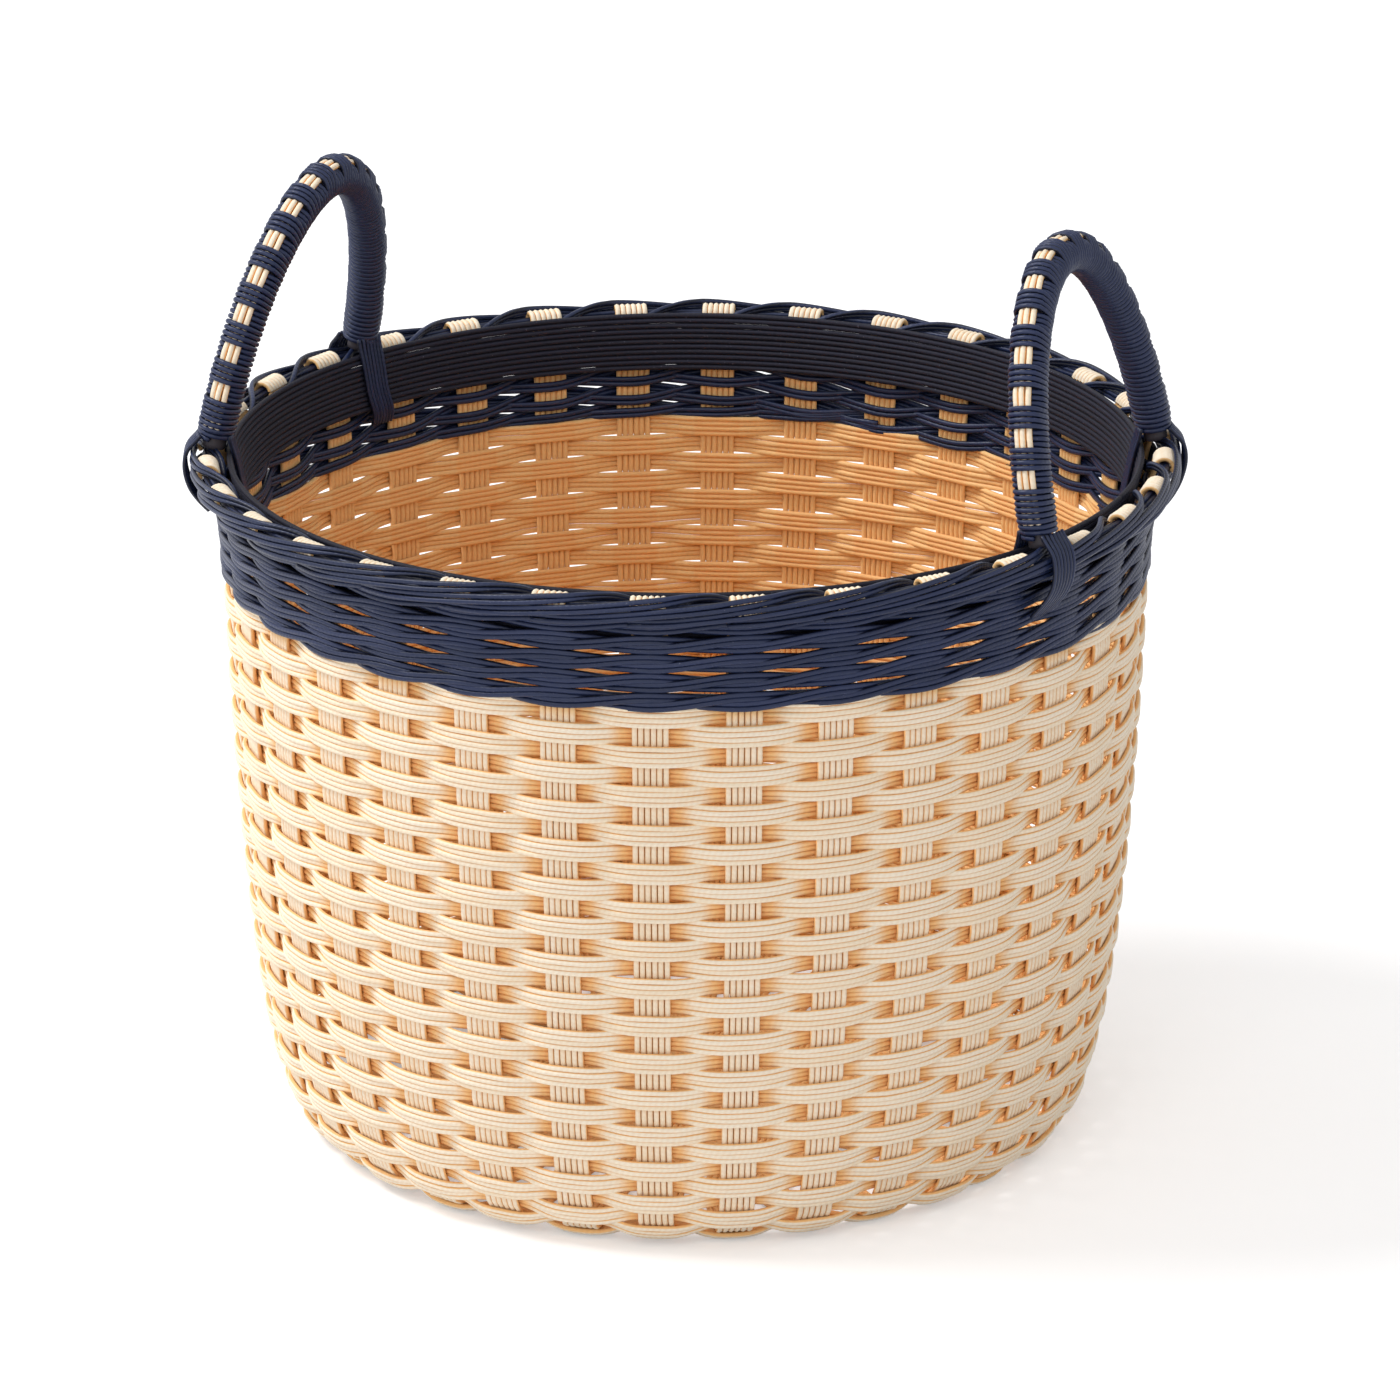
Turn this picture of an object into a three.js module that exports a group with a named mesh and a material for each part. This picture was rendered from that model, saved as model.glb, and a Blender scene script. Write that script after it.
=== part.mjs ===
// Round wicker storage basket with two fixed arch handles.
//
// Sixteen flat strips of cord cross under the basket in two layers and turn up the wall as
// thirty-two stakes. Two weavers chase each other up the wall in a rising spiral, three dark
// strands form the wale above them, and the stakes fold over a rim cord. Each handle is a
// bent cane, bound with cord, that stands on the rim between two stakes.
//
// Millimetres, +Z up. The origin is on the floor at the basket's axis; the handles stand at
// +X and -X.
import * as THREE from "three";

// ---- driving dimensions ----------------------------------------------------------------
const CORD = 2.2; // diameter of the twisted cord that every ribbon is made of
const GAP = 0.3; // air between pieces that touch

const RIM_RADIUS = 200; // axis to the middle of the rim cord
const RIM_HEIGHT = 290; // floor to the middle of the rim cord
const WAIST_INSET = 9.5; // rim cord in to the stake where the dark wale begins
const FOOT_INSET = 48; // rim cord in to the stake where the wall curls up from the base
const DARK_DEPTH = 44; // rim cord down to the lowest edge of the wale

const STAKE_COUNT = 32;
const STAKE_CORDS = 6;
const STAKE_PITCH = 2.5; // spacing of the cords in a stake
const MAT_PITCH = 20; // spacing of the parallel strips under the basket
const HOOK_TAIL = 5; // how far a stake runs down outside the rim cord

const ROWS = 30; // rows of light weaving between the foot and the wale

const RIM_CORD_RADIUS = 2.6;
const WALE_STRANDS = 3;
const WALE_TURNS = 4; // turns that each strand makes
const WALE_HEIGHT = 32; // height that the strands fill together
const WALE_CLEARANCE = 0.6; // between the edges of one round and the next

const LINING_CORDS = 11; // parallel cords of the flat band inside the rim
const BORDER_CORDS = 6; // parallel cords of the ribbon outside the rim
const BORDER_RISE = 1; // top edge of that ribbon above the middle of the rim cord

const HANDLE_HEIGHT = 104; // rim cord to the middle of the cane at the top, along the arch
const HANDLE_LEAN = 0.2; // inward lean of the arch, radians
const HANDLE_SPREAD = 4; // stake spacings between the two legs of a handle
const CANE_RADIUS = 5;
const LEG_INSET = 2; // rim cord in to the middle of a handle's leg
const INLAY_CORDS = 3;
const INLAY_THICKNESS = 1.6;
const LASHING_CORDS = 7;
const LASHING_TOP = 9.5; // top end of a lashing above the middle of the rim cord
const LASHING_TAIL = 1.7; // how far a lashing runs on below the lining

// ---- sizes that follow -----------------------------------------------------------------
const STAKE_STEP = (2 * Math.PI) / STAKE_COUNT;
const STAKE_WIDTH = STAKE_CORDS * STAKE_PITCH;
const HALF_STAKE = STAKE_WIDTH / 2;
const LAYER = CORD + GAP; // from the middle of one ribbon to the middle of the next
const STRIPS_PER_LAYER = STAKE_COUNT / 4;
const MAT_HALF = (STRIPS_PER_LAYER / 2) * MAT_PITCH;
const FOOT_HEIGHT = LAYER + CORD; // leaves room for the weaver that passes underneath
const WAIST_HEIGHT = RIM_HEIGHT - DARK_DEPTH;
const WAIST_RADIUS = RIM_RADIUS - WAIST_INSET;
const FOOT_RADIUS = RIM_RADIUS - FOOT_INSET;
const HOOK_RADIUS = RIM_CORD_RADIUS + GAP + CORD / 2;
const STAKE_TOP_RADIUS = RIM_RADIUS - HOOK_RADIUS;

// ---- materials -------------------------------------------------------------------------
const lightCord = () => new THREE.MeshStandardMaterial({ color: 0xecd3ab, roughness: 0.62 });
const darkCord = () => new THREE.MeshStandardMaterial({ color: 0x2b3044, roughness: 0.5 });
const cane = () => new THREE.MeshStandardMaterial({ color: 0xb98d55, roughness: 0.6 });

// ---- wall line -------------------------------------------------------------------------
// The line of a stake in the plane through the axis, x outward and y up, from the foot to
// the top: a superellipse from foot to waist, then a gentle flare to the rim.
const CURL_SHARPNESS = 3.2;
const WALL_FULLNESS = 1.35;

class BodyLine extends THREE.Curve {
  getPoint(t, target = new THREE.Vector2()) {
    const out = Math.sin((t * Math.PI) / 2);
    const up = 1 - Math.pow(1 - Math.pow(out, CURL_SHARPNESS), 1 / WALL_FULLNESS);
    return target.set(
      FOOT_RADIUS + (WAIST_RADIUS - FOOT_RADIUS) * out,
      FOOT_HEIGHT + (WAIST_HEIGHT - FOOT_HEIGHT) * up
    );
  }
}

const bodyLine = new BodyLine();
bodyLine.arcLengthDivisions = 400;
const flareLine = new THREE.QuadraticBezierCurve(
  new THREE.Vector2(WAIST_RADIUS, WAIST_HEIGHT),
  new THREE.Vector2(WAIST_RADIUS, (WAIST_HEIGHT + RIM_HEIGHT) / 2),
  new THREE.Vector2(STAKE_TOP_RADIUS, RIM_HEIGHT)
);

// A point that lies `offset` outside the wall line, `along` of the way up a line (0 to 1).
function besideLine(line, along, offset) {
  const point = line.getPointAt(along);
  const tangent = line.getTangentAt(along);
  return new THREE.Vector2(point.x + tangent.y * offset, point.y - tangent.x * offset);
}

// The same on the flare, at a given height.
function besideFlare(height, offset) {
  const along = THREE.MathUtils.clamp((height - WAIST_HEIGHT) / DARK_DEPTH, 0, 1);
  return besideLine(flareLine, along, offset);
}

// ---- making ribbons --------------------------------------------------------------------
const UP = new THREE.Vector3(0, 0, 1);
const around = (angle) => new THREE.Vector3(Math.cos(angle), Math.sin(angle), 0);
const atAngle = (rz, angle) => around(angle).multiplyScalar(rz.x).setZ(rz.y);

// A flat ribbon along stations { at, side }: `side` runs across its width. A box with one
// segment between each two stations is bent on to them, mitred so that it keeps its
// thickness round a bend.
function ribbon(stations, width, thickness) {
  const last = stations.length - 1;
  const geometry = new THREE.BoxGeometry(width, thickness, 1, 1, 1, last);
  const runs = stations.slice(1).map((s, i) => s.at.clone().sub(stations[i].at).normalize());
  const frames = stations.map(({ at, side }, i) => {
    const before = runs[Math.max(i - 1, 0)];
    const after = runs[Math.min(i, last - 1)];
    const face = before.clone().add(after).normalize().cross(side).normalize();
    const mitre = 1 / Math.sqrt((1 + before.dot(after)) / 2);
    return { at, side, face: face.multiplyScalar(mitre) };
  });
  const position = geometry.getAttribute("position");
  const corner = new THREE.Vector3();
  for (let i = 0; i < position.count; i += 1) {
    corner.fromBufferAttribute(position, i);
    const { at, side, face } = frames[Math.round((corner.z + 0.5) * last)];
    const place = at.clone().addScaledVector(side, corner.x).addScaledVector(face, corner.y);
    position.setXYZ(i, place.x, place.y, place.z);
  }
  geometry.computeVertexNormals();
  return geometry;
}

function named(name, geometry, material) {
  const mesh = new THREE.Mesh(geometry, material);
  mesh.name = name;
  return mesh;
}

// ---- strips and stakes -----------------------------------------------------------------
const WALL_STEPS = 10;
const CURL_CROWDING = 1.3; // more than 1 puts a stake's steps closer together near the foot
const FLARE_STEPS = 2;
const HOOK_STEPS = 4;

// One stake from the foot to the end of its hook, in the plane at `angle`.
function stakeStations(angle) {
  const side = around(angle + Math.PI / 2);
  const line = [];
  for (let i = 0; i <= WALL_STEPS; i += 1) {
    line.push(bodyLine.getPoint(Math.pow(i / WALL_STEPS, CURL_CROWDING)));
  }
  for (let i = 1; i <= FLARE_STEPS; i += 1) {
    line.push(flareLine.getPointAt(i / FLARE_STEPS));
  }
  const bend = Math.PI / HOOK_STEPS;
  const reach = HOOK_RADIUS / Math.cos(bend / 2); // the flats of the hook touch its circle
  for (let turn = Math.PI - bend / 2; turn > 0; turn -= bend) {
    const out = RIM_RADIUS + reach * Math.cos(turn);
    line.push(new THREE.Vector2(out, RIM_HEIGHT + reach * Math.sin(turn)));
  }
  line.push(new THREE.Vector2(RIM_RADIUS + HOOK_RADIUS, RIM_HEIGHT - HOOK_TAIL));
  return line.map((rz) => ({ at: atAngle(rz, angle), side }));
}

// A strip that runs along X at row `index` of its layer and becomes a stake at both ends.
function stripStations(index, height) {
  const row = index - (STRIPS_PER_LAYER - 1) / 2;
  const angle = row * STAKE_STEP;
  const right = stakeStations(angle);
  const left = stakeStations(Math.PI - angle).reverse();
  left.forEach((station) => station.side.negate());
  const foot = right[0].at;
  const heading = Math.atan2(foot.y - row * MAT_PITCH, foot.x - MAT_HALF);
  const mat = [-1, 1].map((end) => ({
    at: new THREE.Vector3(end * MAT_HALF, row * MAT_PITCH, height),
    side: around((end * heading) / 2 + Math.PI / 2),
  }));
  return [...left, ...mat, ...right];
}

const basket = new THREE.Group();
const lowerLayer = new THREE.Group();
const upperLayer = new THREE.Group();
upperLayer.rotation.z = Math.PI / 2;
for (let i = 0; i < STRIPS_PER_LAYER; i += 1) {
  const label = String(i + 1);
  const lower = ribbon(stripStations(i, CORD / 2), STAKE_WIDTH, CORD);
  const upper = ribbon(stripStations(i, CORD / 2 + LAYER), STAKE_WIDTH, CORD);
  lowerLayer.add(named(`stake_strip_lower_${label}`, lower, lightCord()));
  upperLayer.add(named(`stake_strip_upper_${label}`, upper, lightCord()));
}
basket.add(lowerLayer, upperLayer);

// ---- light weavers ---------------------------------------------------------------------
// Each weaver passes outside every second stake and inside the ones between. Over a stake
// outside it lies flat between two stations. Inside, one station is enough, set so deep
// that the ribbon still clears the stake's edges.
const ROW_PITCH = 1 / ROWS; // as a share of the body line
const ROW_CLEARANCE = GAP + 0.4 * CORD; // thick rows come closer together inside the curl
const ROW_WIDTH = bodyLine.getLength() / ROWS - ROW_CLEARANCE;
const FLAT_HALF = HALF_STAKE + GAP; // half of the flat over a stake
const BEND_ROOM = 0.45; // extra depth, because a stake is faceted where the wall curls

// How far the wall line bows away from a straight ribbon laid across it.
function bowAcross(along, width) {
  const half = width / 2 / bodyLine.getLength();
  const low = bodyLine.getPointAt(Math.max(along - half, 0));
  const high = bodyLine.getPointAt(Math.min(along + half, 1));
  return bodyLine.getPointAt(along).distanceTo(low.add(high).multiplyScalar(0.5));
}

// Depth of the middle of a pass inside a stake, from where the ribbon comes off the flat
// over the stake before it.
function insideDepth(along) {
  const { x: radius } = bodyLine.getPointAt(along);
  const outward = bodyLine.getTangentAt(along).y;
  const run = radius * Math.sin(STAKE_STEP) - FLAT_HALF * Math.cos(STAKE_STEP);
  const turnedIn = radius * (1 - Math.cos(STAKE_STEP)) - FLAT_HALF * Math.sin(STAKE_STEP);
  const climb = LAYER - outward * turnedIn;
  const clear = LAYER + BEND_ROOM + bowAcross(along, ROW_WIDTH);
  return (clear * run + climb * HALF_STAKE) / (run - HALF_STAKE);
}

function weaverStations(startStake, firstStakeOutside) {
  const stakes = ((ROWS - 1) * STAKE_COUNT) / 2;
  const stations = [];
  const add = (stake, nudge, offset) => {
    const along = ROW_PITCH * (0.5 + (2 * stake) / STAKE_COUNT);
    const rz = besideLine(bodyLine, along, offset(along));
    const angle = (startStake + stake + 0.5) * STAKE_STEP + nudge / rz.x;
    const tangent = bodyLine.getTangentAt(along);
    stations.push({ at: atAngle(rz, angle), side: atAngle(tangent, angle) });
  };
  for (let stake = 0; stake <= stakes; stake += 1) {
    if ((stake % 2 === 0) === firstStakeOutside) {
      add(stake, -FLAT_HALF, () => LAYER);
      add(stake, FLAT_HALF, () => LAYER);
    } else {
      add(stake, 0, (along) => -insideDepth(along));
    }
  }
  return stations;
}

basket.add(
  named("weaver_a", ribbon(weaverStations(0, true), ROW_WIDTH, CORD), lightCord()),
  named("weaver_b", ribbon(weaverStations(STAKE_COUNT / 2, false), ROW_WIDTH, CORD), lightCord())
);

// ---- dark wale -------------------------------------------------------------------------
// Three strands, each outside two stakes and behind the third, one stake apart. A strand
// runs straight from the middle of one stake to the middle of the next, and stands off just
// so far there that it clears the edges of both.
const WALE_ROOM = 0.45; // extra clearance, because a stake is faceted along the flare
const WALE_RUN = WAIST_RADIUS * Math.sin(STAKE_STEP);
const WALE_TURNED_IN = WAIST_RADIUS * (1 - Math.cos(STAKE_STEP));
const EDGE_SHARE = HALF_STAKE / WALE_RUN;
const WALE_STAND_OFF = (LAYER + WALE_ROOM) / (1 - 2 * EDGE_SHARE);
const WALE_OUTSIDE = WALE_STAND_OFF + EDGE_SHARE * WALE_TURNED_IN;
const WALE_INSIDE = WALE_STAND_OFF - EDGE_SHARE * WALE_TURNED_IN;
const WALE_PITCH = WALE_HEIGHT / (WALE_STRANDS * WALE_TURNS);

function waleStations(strand) {
  const stations = [];
  const stakes = WALE_TURNS * STAKE_COUNT;
  const first = Math.round((strand * STAKE_COUNT) / WALE_STRANDS);
  for (let stake = 0; stake < stakes; stake += 1) {
    const rise = (WALE_STRANDS * (stake / STAKE_COUNT) + 0.5) * WALE_PITCH;
    const behind = (stake + strand) % WALE_STRANDS === 0;
    const rz = besideFlare(WAIST_HEIGHT + rise, behind ? -WALE_INSIDE : WALE_OUTSIDE);
    const angle = (first + stake + 0.5) * STAKE_STEP;
    stations.push({ at: atAngle(rz, angle), side: UP });
  }
  return stations;
}

for (let strand = 0; strand < WALE_STRANDS; strand += 1) {
  const geometry = ribbon(waleStations(strand), WALE_PITCH - WALE_CLEARANCE, CORD);
  basket.add(named(`wale_strand_${strand + 1}`, geometry, darkCord()));
}

// ---- rim -------------------------------------------------------------------------------
// Rings with a flat facing each stake and one facing each space, so that the gap to the
// flat stakes is the same all along.
const RING_SIDES = 2 * STAKE_COUNT;
const RING_TURN = Math.PI / RING_SIDES;

// A ring whose section is the polygon `outline`, counter-clockwise, x outward and y up.
function ring(outline) {
  const section = [...outline, outline[0]].map(
    ({ x, y }) => new THREE.Vector2(x / Math.cos(RING_TURN), y)
  );
  const geometry = new THREE.LatheGeometry(section, RING_SIDES, RING_TURN);
  return geometry.rotateX(Math.PI / 2);
}

// The outline of a flat band: a line given thickness to both sides.
function bandOutline(low, high, thickness) {
  const half = thickness / 2;
  const run = high.clone().sub(low).normalize();
  const out = new THREE.Vector2(run.y, -run.x).multiplyScalar(half);
  return [low.clone().add(out), high.clone().add(out), high.clone().sub(out), low.clone().sub(out)];
}

const RIM_CORD_SIDES = 8;
const rimCordOutline = Array.from({ length: RIM_CORD_SIDES }, (_, i) => {
  const turn = (2 * Math.PI * (i + 0.5)) / RIM_CORD_SIDES;
  return new THREE.Vector2(Math.cos(turn), Math.sin(turn))
    .multiplyScalar(RIM_CORD_RADIUS)
    .add(new THREE.Vector2(RIM_RADIUS, RIM_HEIGHT));
});
basket.add(named("rim_cord", ring(rimCordOutline), darkCord()));

// Flat band inside the rim, against the backs of the wale.
const LINING_OFFSET = WALE_INSIDE + LAYER + 2 * GAP; // the band is straight, the flare is not
const LINING_TOP = RIM_HEIGHT - CORD / 2;
const LINING_HEIGHT = LINING_CORDS * CORD;
const LINING_BOTTOM = LINING_TOP - LINING_HEIGHT;
const liningOutline = bandOutline(
  besideFlare(LINING_BOTTOM, -LINING_OFFSET),
  besideFlare(LINING_TOP, -LINING_OFFSET),
  CORD
);
basket.add(named("lining_band", ring(liningOutline), darkCord()));

// Flat ribbon outside the rim, over the ends of the stakes.
const BORDER_RADIUS = RIM_RADIUS + HOOK_RADIUS + LAYER;
const BORDER_TOP = RIM_HEIGHT + BORDER_RISE;
const borderOutline = bandOutline(
  new THREE.Vector2(BORDER_RADIUS, BORDER_TOP - BORDER_CORDS * CORD),
  new THREE.Vector2(BORDER_RADIUS, BORDER_TOP),
  CORD
);
basket.add(named("border_ribbon", ring(borderOutline), darkCord()));

// ---- handles ---------------------------------------------------------------------------
// Each handle stands in a group of its own: x towards the middle of the basket's rim, y
// along it and z up the leaning arch, with the origin level with the rim cord.
const LEG_ANGLE = (HANDLE_SPREAD / 2) * STAKE_STEP;
const LEG_RADIUS = RIM_RADIUS - LEG_INSET;
const ARCH_HALF = LEG_RADIUS * Math.sin(LEG_ANGLE);
const HANDLE_PLACE = LEG_RADIUS * Math.cos(LEG_ANGLE);
const CANE_FOOT = RIM_CORD_RADIUS + GAP; // rests on the rim cord
const ARCH_STEPS = 18;
const ROUND_SIDES = 8;

// Half an ellipse over the span between the legs, cut off at the height `start`.
class ArchLine extends THREE.Curve {
  constructor(start) {
    super();
    this.first = Math.asin(start / HANDLE_HEIGHT);
  }

  getPoint(t, target = new THREE.Vector3()) {
    const turn = this.first + t * (Math.PI - 2 * this.first);
    return target.set(0, ARCH_HALF * Math.cos(turn), HANDLE_HEIGHT * Math.sin(turn));
  }
}

const roundOutline = (radius) =>
  Array.from({ length: ROUND_SIDES }, (_, i) => {
    const turn = (2 * Math.PI * (i + 0.5)) / ROUND_SIDES;
    return new THREE.Vector2(Math.cos(turn), Math.sin(turn)).multiplyScalar(
      radius / Math.cos(Math.PI / ROUND_SIDES)
    );
  });

function sweep(shape, line) {
  return new THREE.ExtrudeGeometry(shape, { steps: ARCH_STEPS, extrudePath: line });
}

const BINDING_INNER = CANE_RADIUS + GAP;
const BINDING_OUTER = BINDING_INNER + CORD;
const BINDING_START = LASHING_TOP + CORD + BINDING_OUTER * Math.sin(HANDLE_LEAN);

function handle(label) {
  const group = new THREE.Group();
  const canePiece = sweep(new THREE.Shape(roundOutline(CANE_RADIUS)), new ArchLine(CANE_FOOT));
  group.add(named(`handle_cane_${label}`, canePiece, cane()));

  const sleeve = new THREE.Shape(roundOutline(BINDING_OUTER));
  sleeve.holes.push(new THREE.Path(roundOutline(BINDING_INNER)));
  const boundLine = new ArchLine(BINDING_START);
  const binding = sweep(sleeve, boundLine);
  group.add(named(`handle_binding_${label}`, binding, darkCord()));

  const side = new THREE.Vector3(1, 0, 0);
  const inlayLift = BINDING_OUTER + GAP + INLAY_THICKNESS / 2;
  const inlayStations = boundLine.getSpacedPoints(ARCH_STEPS).map((at, i) => {
    const outward = boundLine.getTangentAt(i / ARCH_STEPS).cross(side);
    return { at: at.addScaledVector(outward, inlayLift), side };
  });
  const inlay = ribbon(inlayStations, INLAY_CORDS * CORD, INLAY_THICKNESS);
  group.add(named(`handle_inlay_${label}`, inlay, lightCord()));
  return group;
}

// A lashing holds a leg to the wall, flat against it from above the rim to below the band:
// outside over the border and the wale, inside over the lining.
const LASHING_WIDTH = LASHING_CORDS * CORD;
const lashingTop = RIM_HEIGHT + LASHING_TOP;
const lashingBottom = LINING_BOTTOM - LASHING_TAIL;
const legAtTop = LEG_RADIUS - LASHING_TOP * Math.tan(HANDLE_LEAN) * Math.cos(LEG_ANGLE);
const LEG_REACH = CANE_RADIUS + LAYER;
const OVER_BORDER = BORDER_RADIUS + LAYER + GAP;
const OVER_LINING = LINING_OFFSET + LAYER;

const outsideLine = [
  new THREE.Vector2(legAtTop + LEG_REACH, lashingTop),
  new THREE.Vector2(OVER_BORDER, BORDER_TOP),
  new THREE.Vector2(OVER_BORDER, BORDER_TOP - BORDER_CORDS * CORD),
  besideFlare(lashingBottom, WALE_OUTSIDE + LAYER),
];
const insideLine = [
  new THREE.Vector2(legAtTop - LEG_REACH, lashingTop),
  besideFlare(LINING_TOP, -OVER_LINING),
  besideFlare(LINING_BOTTOM, -OVER_LINING),
  besideFlare(lashingBottom, -OVER_LINING),
];

function lashing(line, angle) {
  const side = around(angle + Math.PI / 2);
  return ribbon(line.map((rz) => ({ at: atAngle(rz, angle), side })), LASHING_WIDTH, CORD);
}

["right", "left"].forEach((label, i) => {
  const facing = new THREE.Group();
  facing.rotation.z = i * Math.PI;
  const arch = handle(label);
  arch.position.set(HANDLE_PLACE, 0, RIM_HEIGHT);
  arch.rotation.y = -HANDLE_LEAN;
  facing.add(arch);
  [-LEG_ANGLE, LEG_ANGLE].forEach((angle, leg) => {
    const outer = lashing(outsideLine, angle);
    const inner = lashing(insideLine, angle);
    facing.add(named(`lashing_outer_${label}_${leg + 1}`, outer, darkCord()));
    facing.add(named(`lashing_inner_${label}_${leg + 1}`, inner, darkCord()));
  });
  basket.add(facing);
});

export default basket;
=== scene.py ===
"""Round basket woven of ribbons of round reed, with a dark wale and two bound handles."""

import bpy
import numpy as np
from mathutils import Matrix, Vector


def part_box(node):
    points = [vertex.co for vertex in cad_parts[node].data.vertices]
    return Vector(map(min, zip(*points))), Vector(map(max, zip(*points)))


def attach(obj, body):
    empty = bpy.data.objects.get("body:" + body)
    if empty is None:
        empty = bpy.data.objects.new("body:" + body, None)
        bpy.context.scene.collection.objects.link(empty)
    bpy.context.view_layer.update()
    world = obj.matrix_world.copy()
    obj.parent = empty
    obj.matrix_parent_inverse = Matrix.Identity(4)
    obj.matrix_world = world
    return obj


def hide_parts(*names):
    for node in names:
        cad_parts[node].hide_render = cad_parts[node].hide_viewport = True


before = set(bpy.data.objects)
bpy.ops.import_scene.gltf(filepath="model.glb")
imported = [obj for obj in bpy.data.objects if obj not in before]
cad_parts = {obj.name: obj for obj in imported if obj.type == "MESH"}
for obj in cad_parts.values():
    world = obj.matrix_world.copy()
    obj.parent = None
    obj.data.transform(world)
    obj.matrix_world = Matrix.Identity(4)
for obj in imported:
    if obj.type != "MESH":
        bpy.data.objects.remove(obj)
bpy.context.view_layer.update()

# ---- Strips and stakes ------------------------------------------------------------------
# Sixteen flat ribbons of six peeled reeds each cross under the basket, eight each way, and
# both ends turn up the wall as stakes and bend outwards over the rim. Plain unvarnished
# reed, with painted shade, warmer, in the hollows of the weave.
MM = 0.001
REED = 2.2
STAKES = 32
STEP = 2 * np.pi / STAKES
HALF_ROUND = STAKES // 2
STAKE_REEDS, STAKE_PITCH = 6, 2.5
STAKE_REED_RADIUS = 1.23
MAT_PITCH = 20.0
MAT_HALF = 4 * MAT_PITCH
MAT_MIDDLE = 2.48
MAT_WAVE = 1.25
FOOT_RADIUS, FOOT_HEIGHT = 152.0, 4.7
WAIST_RADIUS, WAIST_HEIGHT = 190.5, 246.0
RIM_RADIUS, RIM_HEIGHT = 200.0, 290.0
STAKE_TOP_RADIUS = 196.0
HOOK_RADIUS = RIM_RADIUS - STAKE_TOP_RADIUS
HOOK_TAIL = 1.5
CURL_SHARPNESS, WALL_FULLNESS = 3.2, 1.35
ROWS = 30
STAKE_GIVE = 0.45  # how far a weaver pushes a stake in
dice = np.random.default_rng(32)

# The line of the wall from the foot to the rim, r and z by distance along it.
BODY_STEPS, FLARE_STEPS = 4000, 400
body_out = np.sin(np.linspace(0, 1, BODY_STEPS + 1) * np.pi / 2)
body_up = 1 - (1 - body_out**CURL_SHARPNESS) ** (1 / WALL_FULLNESS)
flare = np.linspace(0, 1, FLARE_STEPS + 1)[1:]
wall_r = np.r_[
    FOOT_RADIUS + (WAIST_RADIUS - FOOT_RADIUS) * body_out,
    WAIST_RADIUS + (STAKE_TOP_RADIUS - WAIST_RADIUS) * flare**2,
]
wall_z = np.r_[
    FOOT_HEIGHT + (WAIST_HEIGHT - FOOT_HEIGHT) * body_up,
    WAIST_HEIGHT + (RIM_HEIGHT - WAIST_HEIGHT) * flare,
]
wall_s = np.r_[0, np.cumsum(np.hypot(np.diff(wall_r), np.diff(wall_z)))]
WAIST = wall_s[BODY_STEPS]
ROW = WAIST / ROWS
slope_r, slope_z = np.gradient(wall_r, wall_s), np.gradient(wall_z, wall_s)


def on_wall(s, off, angle):
    """Points `off` outside the wall line at distance s up it, and the way out there."""
    past = np.maximum(s - wall_s[-1], 0)
    r = np.interp(s, wall_s, wall_r) + past * slope_r[-1]
    z = np.interp(s, wall_s, wall_z) + past * slope_z[-1]
    out_r, out_z = np.interp(s, wall_s, slope_z), -np.interp(s, wall_s, slope_r)
    r, z = r + off * out_r, z + off * out_z
    cos, sin = np.cos(angle), np.sin(angle)
    at = np.stack([r * cos, r * sin, z + 0 * cos], -1)
    out = np.stack([out_r * cos, out_r * sin, out_z + 0 * cos], -1)
    return at, out


def wall_distance(z):
    """Distance up the wall line at which it reaches a height."""
    return np.interp(z, wall_z, wall_s)


def unit(v):
    return v / np.linalg.norm(v, axis=-1, keepdims=True)


def wander(u, size, longest):
    """A slow random drift along u, as in any line laid by hand."""
    total = np.zeros_like(u, dtype=float)
    for part in (1, 2.3, 4.1):
        phase, scale = dice.uniform(0, 2 * np.pi), dice.uniform(0.5, 1)
        total += scale / part**0.7 * np.sin(2 * np.pi * part * u / longest + phase)
    return size * total


REED_SIDES = 7
REED_TIP = 0.4  # how far a reed's end bulges, in radii


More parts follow.
